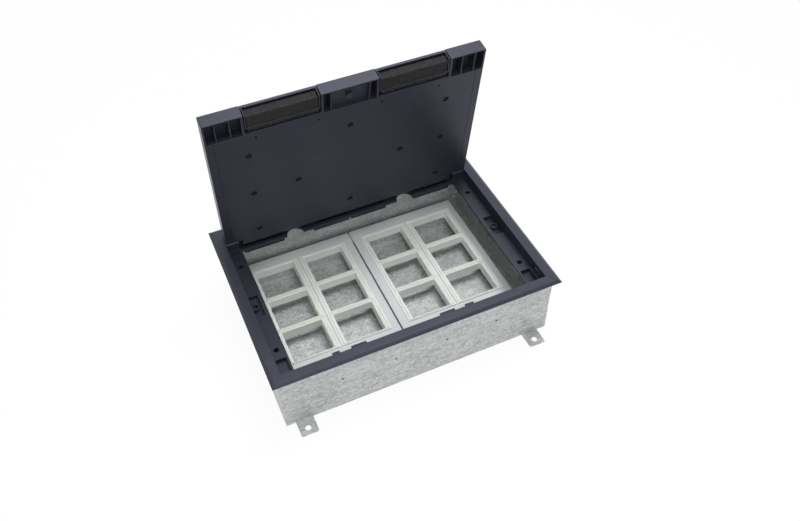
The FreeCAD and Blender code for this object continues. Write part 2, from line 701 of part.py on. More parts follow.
def cable_flap(side, name):
    """A flap over a cable outlet: a thin leaf on a barrel with two pintles."""
    body = new_body("cable_flap_" + name)
    middle = "%d * (outlet_in + outlet_out) / 2" % side
    reach = "(outlet_out - outlet_in) / 2 - flap_play"
    leaf = new_sketch(body, "leaf_outline", offset="lid_top - flap_thick")
    rectangle(leaf, "%s - (%s)" % (middle, reach), "%s + (%s)" % (middle, reach),
              "-lid_front", "-flap_axis_y")
    pad(body, "leaf", leaf, "flap_thick")
    lip = new_sketch(body, "lip_outline", offset="lid_top - flap_thick")
    rectangle(lip, "%s - (%s)" % (middle, reach), "%s + (%s)" % (middle, reach),
              "-lid_front", "-lid_front + 1.8")
    pad(body, "lip", lip, "1.4", reverse=True)
    nose = lambda a, b: (abs(a.y + size("lid_front")) < 1e-3 and abs(a.x - b.x) > 20
                         and abs(a.z - size("lid_top")) < 1e-3)
    fillet(body, "nose", "1.2", nose)
    barrel = new_sketch(body, "barrel_circle", "YZ_Plane", "%s - (%s)" % (middle, reach))
    circle(barrel, "-flap_axis_y", "lid_top - flap_barrel", "2 * flap_barrel")
    pad(body, "barrel", barrel, "2 * (%s)" % reach)
    pintle = new_sketch(body, "pintle_circle", "YZ_Plane", "%s - (%s) - 1.6" % (middle, reach))
    circle(pintle, "-flap_axis_y", "lid_top - flap_barrel", "flap_pintle")
    pad(body, "pintles", pintle, "2 * (%s) + 3.2" % reach)
    on_hinge(body)
    return finished(body)


def rail(side, name):
    """A folded rail across the box that the carriers lie on."""
    body = new_body(name + "_rail")
    fold = new_sketch(body, "fold", "YZ_Plane")
    top, low = "rail_top", "rail_top - steel"
    if side > 0:
        leg, tip, foot = "89", "104", "103"
        corners = [(leg, "steel"), (foot, "steel"), (foot, "2 * steel"),
                   (leg + " + steel", "2 * steel"), (leg + " + steel", low), (tip, low),
                   (tip, top), (leg, top)]
    else:
        leg, tip, foot = "-80", "-66", "-92"
        corners = [(foot, "steel"), (leg, "steel"), (leg, low), (tip, low), (tip, top),
                   (leg + " - steel", top), (leg + " - steel", "2 * steel"),
                   (foot, "2 * steel")]
    outline(fold, corners)
    pad(body, "folded", fold, "280", both=True)
    holes = new_sketch(body, "holes")
    for x in ("-118", "-25", "25", "118"):
        if side < 0:
            circle(holes, x, "-72", "3.6")
    for x in ("-100", "100"):
        if side < 0:
            circle(holes, x, "-86", "4")
    if side < 0:
        pocket(body, "bores", holes, "30", reverse=True)
    else:
        body.removeObject(holes)
        doc.removeObject(holes.Name)
    return finished(body)


def rail_screws():
    """Pan-head screws through the front rail's foot into the box floor."""
    seat = size("2 * steel")
    one = turned([(0, 0.1), (1.9, 0.1), (1.9, seat), (3.8, seat), (3.8, seat + 1.5),
                  (3.0, seat + 2.3), (0, seat + 2.3)])
    solids = []
    for x in (-100, 100):
        screw = one.copy()
        screw.Placement.Base = FreeCAD.Vector(x, -86, 0)
        solids.append(screw)
    return finished(group("rail_screws", solids))


CARRIER_SCREWS = [(25.0, -72.0), (118.0, -72.0)]


def carrier(side, name):
    """A white steel carrier with six windows and turned-down sides."""
    body = new_body("carrier_" + name)
    plan = new_sketch(body, "plan", offset="rail_top")
    edge = "-58"
    corners = [("carrier_in", "carrier_back"), ("carrier_in", "-carrier_front"),
               ("44", "-carrier_front"), ("44", edge), ("60.5", edge),
               ("60.5", "-carrier_front"), ("75", "-carrier_front"), ("75", edge),
               ("83", edge), ("83", "-carrier_front"), ("carrier_out", "-carrier_front"),
               ("carrier_out", "carrier_back")]
    outline(plan, [("%d * %s" % (side, x), y) for x, y in corners])
    pad(body, "plate", plan, "steel")
    sides = new_sketch(body, "side_folds", offset="rail_top + steel")
    for near, far in (("carrier_in", "carrier_in + steel"),
                      ("carrier_out - steel", "carrier_out")):
        a, b = "%d * (%s)" % (side, near), "%d * (%s)" % (side, far)
        left, right = (a, b) if side > 0 else (b, a)
        rectangle(sides, left, right, "-64", "86")
    pad(body, "skirts", sides, "carrier_skirt", reverse=True)
    windows = new_sketch(body, "windows", offset="rail_top - 5")
    for column in (-0.5, 0.5):
        for line in (-1, 0, 1):
            x = "%d * (column_middle + %g * column_pitch)" % (side, column)
            y = "row_middle + %d * row_pitch" % line
            wide, deep = "aperture_wide / 2 + aperture_wall + 0.2", "aperture_deep / 2 + aperture_wall + 0.2"
            rectangle(windows, "%s - (%s)" % (x, wide), "%s + (%s)" % (x, wide),
                      "%s - (%s)" % (y, deep), "%s + (%s)" % (y, deep))
    pocket(body, "apertures", windows, "20", reverse=True)
    holes = new_sketch(body, "screw_holes", offset="rail_top - 5")
    for x, y in CARRIER_SCREWS:
        circle(holes, str(side * x), str(y), "3.6")
    pocket(body, "screw_bores", holes, "20", reverse=True)
    return finished(body)


def carrier_screws():
    """Pan-head screws through the carriers' front edge into the front rail."""
    seat = size("rail_top + steel")
    one = turned([(0, seat - 6), (1.75, seat - 6), (1.75, seat), (3.5, seat),
                  (3.5, seat + 1.4), (2.8, seat + 2.2), (0, seat + 2.2)])
    solids = []
    for side in (-1, 1):
        for x, y in CARRIER_SCREWS:
            screw = one.copy()
            screw.Placement.Base = FreeCAD.Vector(side * x, y, 0)
            solids.append(screw)
    return finished(group("carrier_screws", solids))


def module_frame(line, column):
    """A frame that a socket module snaps into: a flange on a tapering skirt."""
    body = new_body("module_frame_%d_%d" % (line, column))
    flange = new_sketch(body, "flange_outline")
    rectangle(flange, "-frame_wide / 2", "frame_wide / 2", "-frame_deep / 2", "frame_deep / 2")
    pad(body, "flange", flange, "frame_flange")
    skirt = new_sketch(body, "skirt_outline")
    wide, deep = "(aperture_wide / 2 + aperture_wall)", "(aperture_deep / 2 + aperture_wall)"
    rectangle(skirt, "-" + wide, wide, "-" + deep, deep)
    pad(body, "skirt", skirt, "frame_skirt", reverse=True)
    lower = new_sketch(body, "aperture_foot", offset="-frame_skirt - 0.5")
    rectangle(lower, "-aperture_wide / 2", "aperture_wide / 2",
              "-aperture_deep / 2", "aperture_deep / 2")
    upper = new_sketch(body, "aperture_mouth", offset="frame_flange + 0.5")
    rectangle(upper, "-(aperture_wide / 2 + 1)", "aperture_wide / 2 + 1",
              "-(aperture_deep / 2 + 1)", "aperture_deep / 2 + 1")
    opening = body.newObject("PartDesign::SubtractiveLoft", "aperture")
    opening.Profile = lower
    opening.Sections = [upper]
    doc.recompute()
    x = "(%d) * column_middle + (%g) * column_pitch" % (
        -1 if column < 3 else 1, (-0.5, 0.5, -0.5, 0.5)[column - 1])
    y = "row_middle + (%d) * row_pitch" % (2 - line)
    place(body, x, y, "rail_top + steel")
    return finished(body)


def earth_terminal():
    """A stud on the box floor with its nut, for the protective conductor."""
    stud = doc.addObject("Part::Feature", "earth_stud")
    stud.Label = "earth_stud"
    floor = size("steel")
    stud.Shape = turned([(0, floor), (4.5, floor), (4.5, floor + 1.5), (2.5, floor + 1.5),
                         (2.5, floor + 15.6), (2.1, floor + 16), (0, floor + 16)])
    place(stud, "0", "-99", "0")
    finished(stud)
    nut = new_body("earth_nut")
    blank = new_sketch(nut, "hexagon", offset="steel + 5")
    across = 4.6
    outline(blank, [("%.4f" % (across * math.cos(math.radians(60 * i))),
                     "%.4f" % (across * math.sin(math.radians(60 * i)))) for i in range(6)])
    pad(nut, "nut", blank, "4")
    washer = new_sketch(nut, "washer_circle", offset="steel + 4")
    circle(washer, "0", "0", "11")
    pad(nut, "washer", washer, "1")
    bore = new_sketch(nut, "bore_circle", offset="0")
    circle(bore, "0", "0", "5")
    pocket(nut, "bore", bore, "20", reverse=True)
    place(nut, "0", "-99", "0")
    return finished(nut)


box_body()
box_end(-1, "box_end_left")
box_end(1, "box_end_right")
corner_rivets()
trim_frame()
frame_screws()
for side, name in ((-1, "left"), (1, "right")):
    clamp(side, name)
    hinge_pin(side, name)
lid_shell()
lid_panel()
lid_plate()
lid_screws()
for side, name in ((-1, "left"), (1, "right")):
    foam_holder(side, name)
    foam_block(side, name)
    cable_flap(side, name)
rail(1, "rear")
rail(-1, "front")
rail_screws()
carrier(-1, "left")
carrier(1, "right")
carrier_screws()
for line in (1, 2, 3):
    for column in (1, 2, 3, 4):
        module_frame(line, column)
earth_terminal()

# ---------------------------------------------------------------- checks and files
doc.recompute()
for item in doc.Objects:
    if "Invalid" in item.State or "Error" in item.State:
        raise RuntimeError("%s failed: %s" % (item.Label, item.State))
os.makedirs("parts", exist_ok=True)
for item in nodes:
    if item.Shape.isNull() or not item.Shape.isValid():
        raise RuntimeError("%s has no valid shape" % item.Label)
    item.Shape.exportStep(os.path.join("parts", item.Label + ".step"))
    print(item.Label, len(item.Shape.Solids), round(item.Shape.Volume, 1))
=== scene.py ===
import bmesh
import bpy
import json
import math
from mathutils import Matrix, Vector


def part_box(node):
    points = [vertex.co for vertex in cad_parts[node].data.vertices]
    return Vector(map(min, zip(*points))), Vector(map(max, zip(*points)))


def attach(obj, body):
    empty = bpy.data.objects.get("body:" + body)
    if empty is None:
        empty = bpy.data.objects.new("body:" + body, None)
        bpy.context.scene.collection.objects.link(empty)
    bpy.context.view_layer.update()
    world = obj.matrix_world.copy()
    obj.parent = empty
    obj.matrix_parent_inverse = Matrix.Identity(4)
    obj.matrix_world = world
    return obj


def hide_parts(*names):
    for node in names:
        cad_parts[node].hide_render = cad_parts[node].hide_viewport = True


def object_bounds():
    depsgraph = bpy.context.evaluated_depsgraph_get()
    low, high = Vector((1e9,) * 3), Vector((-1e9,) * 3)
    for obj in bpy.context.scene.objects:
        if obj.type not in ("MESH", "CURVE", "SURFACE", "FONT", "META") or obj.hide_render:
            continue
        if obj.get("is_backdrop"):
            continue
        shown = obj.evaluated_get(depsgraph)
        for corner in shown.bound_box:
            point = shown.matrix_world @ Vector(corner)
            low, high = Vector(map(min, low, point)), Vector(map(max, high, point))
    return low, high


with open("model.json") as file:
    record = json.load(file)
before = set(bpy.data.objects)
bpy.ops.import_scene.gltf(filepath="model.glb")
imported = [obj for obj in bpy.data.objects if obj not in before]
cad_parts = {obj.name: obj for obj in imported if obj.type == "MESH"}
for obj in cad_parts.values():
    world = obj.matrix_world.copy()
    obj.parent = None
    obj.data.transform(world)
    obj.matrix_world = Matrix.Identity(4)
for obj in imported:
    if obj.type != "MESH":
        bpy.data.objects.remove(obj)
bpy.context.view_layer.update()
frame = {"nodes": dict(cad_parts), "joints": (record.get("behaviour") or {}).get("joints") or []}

# Studio. A white sweep and an even white world, with a broad lamp overhead, a smaller one at
# the right, a weak one behind the lid and one in front; the sweep keeps a faint shadow. The
# camera looks down on the open box from the front left.
scene = bpy.context.scene
scene.view_settings.view_transform = "Standard"
white = (1, 1, 1, 1)
sweep_side, sweep_level = 8, -0.0005    # metres; it lies just under the lugs
sweep_white = 0.93                      # how near the sweep comes to plain white as it is seen
world_light = 0.42                      # the world's strength on the object


class Link:
    """A socket that sums and products can be written with."""

    def __init__(self, finish, socket):
        self.finish = finish
        self.socket = socket

    def _maths(self, operation, *values):
        return self.finish.add("ShaderNodeMath", {"operation": operation}, list(enumerate(values)))

    def __add__(self, other):
        return self._maths("ADD", self, other)

    __radd__ = __add__

    def __sub__(self, other):
        return self._maths("SUBTRACT", self, other)

    def __rsub__(self, other):
        return self._maths("SUBTRACT", other, self)

    def __mul__(self, other):
        return self._maths("MULTIPLY", self, other)

    __rmul__ = __mul__

    def between(self, low, high):
        """0 below low, 1 above high, and even between them."""
        spread = [(0, self), (1, low), (2, high)]
        return self.finish.add("ShaderNodeMapRange", {"clamp": True}, spread)


class Finish:
    """A material, or the world, whose nodes are added one after another."""

    def __init__(self, name, store="materials", shell="BsdfPrincipled", out="OutputMaterial"):
        self.data = getattr(bpy.data, store).new(name)
        self.data.use_nodes = True
        self.tree = self.data.node_tree
        self.tree.nodes.clear()
        self.shell = self.tree.nodes.new("ShaderNode" + shell)
        self.out = self.tree.nodes.new("ShaderNode" + out)
        self.tree.links.new(self.shell.outputs[0], self.out.inputs[0])

    def add(self, kind, settings=None, sockets=(), output=0):
        """A node of a kind: its settings first, then its sockets' values or links."""
        node = self.tree.nodes.new(kind)
        for name, value in (settings or {}).items():
            setattr(node, name, value)
        self.feed(node, sockets)
        return Link(self, node.outputs[output])

    def feed(self, node, sockets):
        for name, value in sockets:
            if isinstance(value, Link):
                self.tree.links.new(value.socket, node.inputs[name])
            else:
                node.inputs[name].default_value = value

    def place(self, stretch=(1, 1, 1)):
        """Object coordinates, in metres, stretched along the axes."""
        where = self.add("ShaderNodeTexCoord", output=3)
        return self.add("ShaderNodeMapping", None, [("Vector", where), ("Scale", stretch)])

    def noise(self, scale, detail, stretch=(1, 1, 1), roughness=0.5):
        sockets = [("Vector", self.place(stretch)), ("Scale", scale), ("Detail", detail),
                   ("Roughness", roughness)]
        return self.add("ShaderNodeTexNoise", None, sockets)

    def vector(self, operation, *sockets, output=0):
        return self.add("ShaderNodeVectorMath", {"operation": operation}, sockets, output)

    def facing(self):
        """The direction that the surface faces, before any bump."""
        return self.add("ShaderNodeNewGeometry", output=1)

    def mix(self, factor, one, two):
        """Colour one where the factor is 0 and colour two where it is 1."""
        sockets = [(0, factor), (6, one), (7, two)]
        return self.add("ShaderNodeMix", {"data_type": "RGBA"}, sockets, output=2)

    def bump(self, height, strength, distance, normal=None):
        """A bump over the plain surface, or over a normal that is given."""
        sockets = [("Height", height), ("Strength", strength), ("Distance", distance)]
        if normal:
            sockets.append(("Normal", normal))
        return self.add("ShaderNodeBump", None, sockets)

    def surface(self, **sockets):
        names = {"colour": "Base Color", "roughness": "Roughness", "metallic": "Metallic",
                 "normal": "Normal", "specular": "Specular IOR Level"}
        self.feed(self.shell, [(names[k], v) for k, v in sockets.items()])


def show_white(finish, kind, share):
    """Mix in plain white for the rays from the camera, from gloss and through glass."""
    glow = finish.add(kind, None, [("Color", white), ("Strength", 1.0)])
    rays = [finish.add("ShaderNodeLightPath", output="Is %s Ray" % source)
            for source in ("Camera", "Glossy", "Transmission")]
    seen = (rays[0] + rays[1] + rays[2]).between(0.0, 1.0) * share
    lit = Link(finish, finish.shell.outputs[0])
    both = finish.add("ShaderNodeMixShader", None, [(0, seen), (1, lit), (2, glow)])
    finish.feed(finish.out, [(0, both)])


bpy.ops.object.select_all(action="DESELECT")
bpy.ops.mesh.primitive_plane_add(size=sweep_side, location=(0, 0, sweep_level))
floor = bpy.context.object
floor.name = "studio_floor"
sweep = Finish("white_sweep")
sweep.surface(colour=(0.9, 0.9, 0.9, 1), roughness=0.9, specular=0.0)
show_white(sweep, "ShaderNodeEmission", sweep_white)
floor.data.materials.append(sweep.data)
floor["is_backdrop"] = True

sky = Finish("studio_world", "worlds", "Background", "OutputWorld")
sky.feed(sky.shell, [("Color", white), ("Strength", world_light)])
show_white(sky, "ShaderNodeBackground", 1.0)
scene.world = sky.data

lit_point = Vector((0, 0, 0.1))
for name, place, width, watts in (("roof_lamp", (0, -0.1, 1.5), 0.8, 9.5),
                                  ("side_lamp", (0.4, 0.2, 1.5), 0.4, 6.5),
                                  ("rear_lamp", (0.3, 0.75, 1.4), 0.7, 3.5),
                                  ("front_lamp", (-0.2, -1.2, 0.95), 0.7, 4.5)):
    bpy.ops.object.light_add(type="AREA", location=place)
    lamp = bpy.context.object
    lamp.name = name
    lamp.data.shape = "SQUARE"
    lamp.data.size = width
    lamp.data.energy = watts
    lamp.rotation_euler = (lit_point - Vector(place)).to_track_quat("-Z", "Y").to_euler()

bpy.ops.object.camera_add()
camera = bpy.context.object
camera.name = "view_camera"
camera.data.lens = 36.2
camera.data.sensor_width = 36
# Its right, up and backward directions stand in the first three columns, its place in the last.
camera.matrix_world = Matrix(((0.91134, 0.31435, -0.26581, -0.2188),
                              (-0.41142, 0.67330, -0.61435, -0.5625),
                              (-0.01415, 0.66924, 0.74292, 0.7459),
                              (0, 0, 0, 1)))
scene.camera = camera

# Back box. Floor, front and back are one folded galvanised sheet with four pierced lugs and a
# slight crease along the rear wall. Each end is a tray riveted in at the corners. The zinc
# shows soft spangles and streaks.
nodes = frame["nodes"]
mm = 0.001
same_point = 0.000002                   # metres; corners nearer than this are one
flat_angle = math.radians(0.6)          # faces that turn by less are one flat face
edge_angle = math.radians(32)           # edges that turn by more get broken
sheet_edge = 0.2 * mm
crease_lines, crease = (34, 35, 36), 35     # mm up the wall; the middle line is pressed out
crease_out, rear_wall = 0.6, 90             # mm; only the rear wall lies beyond rear_wall
crease_near = 0.1                           # mm; corners this near to a line lie on it
spangle_scale, spangle_tilt = 430, 0.09


def srgb(*levels):
    """A colour given by its levels from 0 to 255, as the shader takes it."""
    shades = [x / 255 for x in levels]
    return tuple([x / 12.92 if x < 0.04045 else ((x + 0.055) / 1.055) ** 2.4 for x in shades] + [1])


def alone(piece):
    """Make a piece the only one that is selected."""
    bpy.ops.object.select_all(action="DESELECT")
    piece.select_set(True)
    bpy.context.view_layer.objects.active = piece


def apply(piece, kind, **settings):
    """Add a modifier to a piece and apply it."""
    alone(piece)
    step = piece.modifiers.new(kind.lower(), kind)
    for name, value in settings.items():
        setattr(step, name, value)
    bpy.ops.object.modifier_apply(modifier=step.name)


def soften(piece, radius, segments=2):
    """Break a piece's edges with a small radius and shade it smooth between them."""
    apply(piece, "BEVEL", width=radius, segments=segments, limit_method="ANGLE",
          angle_limit=edge_angle, use_clamp_overlap=False)
    bpy.ops.object.shade_smooth_by_angle(angle=edge_angle)
    apply(piece, "WEIGHTED_NORMAL", keep_sharp=True)


def from_cad(label, name):
    """A merged copy of a CAD node's mesh, with its flat faces whole again."""
    piece = bpy.data.objects.new(name, nodes[label].data.copy())
    scene.collection.objects.link(piece)
    piece.data.materials.clear()
    alone(piece)
    bpy.ops.object.mode_set(mode="EDIT")
    bpy.ops.mesh.select_all(action="SELECT")
    bpy.ops.mesh.remove_doubles(threshold=same_point)
    bpy.ops.mesh.dissolve_limited(angle_limit=flat_angle)
    bpy.ops.object.mode_set(mode="OBJECT")
    return piece


def cut_through(piece, place, facing):
    """Divide all of a piece's faces along a plane."""
    bpy.ops.object.mode_set(mode="EDIT")
    bpy.ops.mesh.select_all(action="SELECT")
    bpy.ops.mesh.bisect(plane_co=place, plane_no=facing)
    bpy.ops.object.mode_set(mode="OBJECT")


def shift(piece, chosen, move):
    """Move the corners of a piece that a rule chooses."""
    for vertex in piece.data.vertices:
        vertex.select = chosen(vertex.co)
    bpy.ops.object.mode_set(mode="EDIT")
    bpy.ops.mesh.select_mode(type="VERT")
    bpy.ops.transform.translate(value=move)
    bpy.ops.object.mode_set(mode="OBJECT")


def settle(piece, body, finish, label):
    """Put a finished piece on its body, in its finish, in place of a CAD node."""
    piece.data.materials.clear()
    piece.data.materials.append(finish.data)
    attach(piece, body)
    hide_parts(label)


zinc = Finish("galvanised_sheet")
spangle = zinc.add("ShaderNodeTexVoronoi", {"feature": "F1"},
                   [("Vector", zinc.place()), ("Scale", spangle_scale)], output=1)
grain = zinc.add("ShaderNodeSeparateColor", None, [(0, spangle)])
cloud = zinc.noise(scale=45, detail=3)
fine = zinc.noise(scale=900, detail=3, stretch=(0.35, 1, 1))
streak = zinc.noise(scale=130, detail=4, stretch=(0.3, 1, 1.6), roughness=0.65)
# Small bright specks over the sheet are painted glints, standing in for pressed edges that catch the
# light.
painted_glint = zinc.noise(scale=1500, detail=1).between(0.66, 0.72)
tone = (grain * 0.4 + cloud * 0.3 + fine * 0.6 + streak * 0.7).between(0.6, 1.4)
sheet = zinc.mix(tone, srgb(148, 150, 151), srgb(214, 216, 216))
tilt = zinc.vector("SUBTRACT", (0, spangle), (1, (0.5, 0.5, 0.5)))
tilt = zinc.vector("SCALE", (0, tilt), ("Scale", spangle_tilt))
tilt = zinc.vector("ADD", (0, tilt), (1, zinc.facing()))
tilt = zinc.vector("NORMALIZE", (0, tilt))
relief = zinc.bump(fine + cloud * 0.5, strength=0.35, distance=0.0003, normal=tilt)
zinc.surface(colour=zinc.mix(painted_glint * 0.6, sheet, srgb(226, 228, 229)), metallic=0.5,
             roughness=grain * 0.14 + 0.42, normal=relief)
box_shell = from_cad("box_body", "folded_box")
for level in crease_lines:
    cut_through(box_shell, (0, 0, level * mm), (0, 0, 1))
shift(box_shell, lambda co: abs(co.z - crease * mm) < crease_near * mm
      and co.y > rear_wall * mm, (0, crease_out * mm, 0))
soften(box_shell, sheet_edge)
settle(box_shell, "base", zinc, "box_body")
for side in ("left", "right"):
    tray = from_cad("box_end_" + side, "end_tray_" + side)
    soften(tray, sheet_edge)
    settle(tray, "base", zinc, "box_end_" + side)

# Carrier rails. Two folded strips of the same sheet: the rear one is spot-welded, the front
# one is held by two pan-head screws, and both have plain sheared edges.
for end in ("rear", "front"):
    bar = from_cad(end + "_rail", end + "_carrier_rail")
    soften(bar, 0.25 * mm)
    settle(bar, "base", zinc, end + "_rail")

# Small zinc-plated pieces: blind rivets, rail and carrier screws and the two floor claws.
# The plating is bright and even, dulled a little in patches.
screw_edge = 0.1 * mm
cross_width, cross_height = 0.22, 0.55  # of the cross recess's reach; half of it is cut
turn_apart = 0.7                        # radians; no two screws of a set have crosses in line
just_below = 1e-7
# A pan-head screw's radius and height at each step of its turned outline, in mm.
rail_pan = [(1.9, 0), (1.9, 2.3), (3.6, 2.3), (3.8, 2.6), (3.8, 3.4), (3.4, 4.2), (2.2, 4.6)]
carrier_pan = [(1.75, 0), (1.75, 6), (3.3, 6), (3.5, 6.2), (3.5, 7.1), (3.1, 7.8), (2.0, 8.2)]
plated = Finish("bright_zinc_plate")
dull = plated.noise(scale=400, detail=3)
rough = plated.noise(scale=3000, detail=2)
plated.surface(colour=plated.mix(dull, srgb(176, 179, 183), srgb(208, 210, 212)), metallic=0.9,
               roughness=dull * 0.2 + 0.24, normal=plated.bump(rough, strength=0.1, distance=0.0001))


def islands(label):
    """The lowest and highest corners of each separate solid of a CAD node."""
    copy = bmesh.new()
    copy.from_mesh(nodes[label].data)
    bmesh.ops.remove_doubles(copy, verts=copy.verts, dist=same_point)
    left = set(copy.verts)
    found = []
    while left:
        batch = [left.pop()]
        solid = []
        while batch:
            vertex = batch.pop()
            solid.append(vertex.co.copy())
            for edge in vertex.link_edges:
                other = edge.other_vert(vertex)
                if other in left:
                    left.discard(other)
                    batch.append(other)
        found.append((Vector([min(v[i] for v in solid) for i in range(3)]),
                      Vector([max(v[i] for v in solid) for i in range(3)])))
    copy.free()
    return sorted(found, key=lambda pair: tuple(round(c, 4) for c in pair[0]))


def cross_screw(steps, recess):
    """A turned screw along Z, from (radius, height) steps, with a cross recess, all in mm."""
    (shank, start), (_, shoulder) = steps[:2]
    bpy.ops.object.select_all(action="DESELECT")
    bpy.ops.mesh.primitive_cylinder_add(vertices=32, radius=shank * mm,
                                        depth=shoulder * mm - start * mm,
                                        location=(0, 0, (start * mm + shoulder * mm) / 2))
    screw = bpy.context.object
    bpy.ops.object.transform_apply(location=True)
    bpy.ops.object.mode_set(mode="EDIT")
    shape = bmesh.from_edit_mesh(screw.data)
    for (radius, height), (next_radius, next_height) in zip(steps[1:], steps[2:]):
        shape.faces.ensure_lookup_table()
        for face in shape.faces:
            level = face.calc_center_median().z
            face.select = face.normal.z > 0.9 and level > height * mm - just_below
        bmesh.update_edit_mesh(screw.data)
        rise = (0, 0, next_height * mm - height * mm)
        bpy.ops.mesh.extrude_region_move(TRANSFORM_OT_translate={"value": rise})
        scale = (next_radius * mm) / (radius * mm)
        bpy.ops.transform.resize(value=(scale, scale, 1), center_override=(0, 0, 0))
        shape = bmesh.from_edit_mesh(screw.data)
    bpy.ops.object.mode_set(mode="OBJECT")
    arm = recess * mm
    for turn in (0, 90):
        bpy.ops.object.select_all(action="DESELECT")
        bpy.ops.mesh.primitive_cube_add(size=1, location=(0, 0, steps[-1][1] * mm))
        cutter = bpy.context.object
        cutter.scale = (arm, arm * cross_width, arm * cross_height)
        cutter.rotation_euler.z = math.radians(turn)
        bpy.ops.object.transform_apply(location=True, rotation=True, scale=True)
        apply(screw, "BOOLEAN", operation="DIFFERENCE", object=cutter, solver="EXACT")
        bpy.data.objects.remove(cutter)
    return screw


def copies(master, name, places, lean_back):
    """One piece made of a master's copies, each at its place and turned on its own axis."""
    made = []
    for number, spot in enumerate(places):
        twin = master.copy()
        twin.data = master.data.copy()
        twin.data.transform(Matrix.Translation(spot) @ Matrix.Rotation(lean_back, 4, "X")
                            @ Matrix.Rotation(turn_apart * number, 4, "Z"))
        scene.collection.objects.link(twin)
        made.append(twin)
    bpy.ops.object.select_all(action="DESELECT")
    for twin in made:
        twin.select_set(True)
    bpy.context.view_layer.objects.active = made[0]
    bpy.ops.object.join()
    made[0].name = name
    bpy.data.objects.remove(master)
    return made[0]


def screw_set(name, places, steps, recess, lean_back=0.0):
    """One piece made of cross-head screws that stand at some places."""
    screws = copies(cross_screw(steps, recess), name, places, lean_back)
    soften(screws, screw_edge, segments=1)
    return screws


def feet(label):
    """The middle of each solid's lower end."""
    return [Vector(((low.x + high.x) / 2, (low.y + high.y) / 2, low.z))
            for low, high in islands(label)]


rivets = from_cad("corner_rivets", "blind_rivets")
soften(rivets, 0.15 * mm)
settle(rivets, "base", plated, "corner_rivets")
screws = screw_set("rail_screw_set", feet("rail_screws"), rail_pan, recess=4.2)
settle(screws, "base", plated, "rail_screws")
screws = screw_set("carrier_screw_set", feet("carrier_screws"), carrier_pan, recess=3.8)
settle(screws, "base", plated, "carrier_screws")
for side in ("left", "right"):
    claw = from_cad("clamp_claw_" + side, "floor_claw_" + side)
    soften(claw, 0.35 * mm)
    settle(claw, "clamp_" + side, plated, "clamp_claw_" + side)

# Earth terminal and hinge pins. A brass stud with its hexagon nut on the box floor, and two
# drawn brass pins that the lid turns on; the brass is a little tarnished.
brass = Finish("drawn_brass")
tarnish = brass.noise(scale=250, detail=3)
drawn = brass.noise(scale=1800, detail=2, stretch=(0.2, 1, 1))
brass.surface(colour=brass.mix(tarnish, srgb(150, 120, 68), srgb(212, 186, 120)), metallic=0.95,
              roughness=tarnish * 0.25 + 0.22, normal=brass.bump(drawn, strength=0.12, distance=0.0001))
for label, name, edge in (("earth_stud", "earth_stud_turned", 0.2),
                          ("earth_nut", "earth_hexagon", 0.25),
                          ("hinge_pin_left", "lid_pin_left", 0.2),
                          ("hinge_pin_right", "lid_pin_right", 0.2)):
    turned = from_cad(label, name)
    soften(turned, edge * mm)
    settle(turned, "base", brass, label)

# Module carriers. Two steel plates with turned-down sides and six windows each, powder-coated
# white; they lie on the rails, small screws hold them, and their front lips are unbroken.
fillers = ((43.8, 60.7), (74.8, 83.2))          # mm from the middle of the box
filler_depth, filler_thick, filler_y, filler_z = 20.2, 1.2, -67.9, 22.6
paint = Finish("white_powder_coat")
peel = paint.noise(scale=700, detail=2)
worn = paint.noise(scale=60, detail=3)
paint.surface(colour=paint.mix(worn, srgb(202, 206, 207), srgb(213, 217, 218)),
              roughness=worn * 0.12 + 0.34, normal=paint.bump(peel, strength=0.12, distance=0.0002))


def block(size, place):
    """A plain block that cuts into a piece, is joined to it, or is shaped further."""
    bpy.ops.object.select_all(action="DESELECT")
    bpy.ops.mesh.primitive_cube_add(size=1, location=place)
    made = bpy.context.object
    made.scale = size
    bpy.ops.object.transform_apply(location=True, scale=True)
    return made


def carve(piece, operation, size, place):
    """Cut a block out of a piece, or add it."""
    tool = block(size, place)
    apply(piece, "BOOLEAN", operation=operation, object=tool, solver="EXACT")
    bpy.data.objects.remove(tool)


for side, way in (("left", -1), ("right", 1)):
    plate = from_cad("carrier_" + side, "module_carrier_" + side)
    for near, far in fillers:
        carve(plate, "UNION", ((far - near) * mm, filler_depth * mm, filler_thick * mm),
              (way * (near + far) / 2 * mm, filler_y * mm, filler_z * mm))
    soften(plate, 0.3 * mm)
    settle(plate, "base", paint, "carrier_" + side)

# Module frames. Each is a cream moulding: a flange with a rebate round its mouth and a fine
# groove near its edge, on a deep tapering skirt with snap ribs on its two side walls. All
# twelve are alike.
mouth_x, mouth_y = 23.7 * mm, 21.2 * mm         # half the mouth's width and depth
rebate_x, rebate_y, rebate_deep = 2.4 * mm, 1.6 * mm, 0.8 * mm
groove, groove_tall = 0.7 * mm, 2 * mm          # half of its height lies in the flange
groove_in_x, groove_in_y = 2.4 * mm, 1.2 * mm   # in from the flange's edges
groove_less_x, groove_less_y = 4.1 * mm, 1.7 * mm       # shorter than the flange by these
rib_size, rib_in, rib_level = (0.9 * mm, 1.0 * mm, 6 * mm), 0.75 * mm, -5.4 * mm
ribs = (-9, 3, 15)                              # mm from the middle, along a side wall
cream = Finish("cream_plastic")
shade = cream.noise(scale=40, detail=2)
skin = cream.noise(scale=1800, detail=2)
cream.surface(colour=cream.mix(shade, srgb(236, 238, 229), srgb(243, 245, 238)),
              roughness=shade * 0.1 + 0.36, normal=cream.bump(skin, strength=0.08, distance=0.0002))
cream.feed(cream.shell, [("Subsurface Weight", 0.35), ("Subsurface Scale", 0.005),
                         ("Subsurface Radius", (1.0, 0.9, 0.75))])
low, high = (Vector(c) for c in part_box("module_frame_1_1"))
middle = (low + high) / 2
master = from_cad("module_frame_1_1", "frame_master")
wide, deep = high.x - low.x, high.y - low.y
master.data.transform(Matrix.Translation((-middle.x, -middle.y, -high.z)))
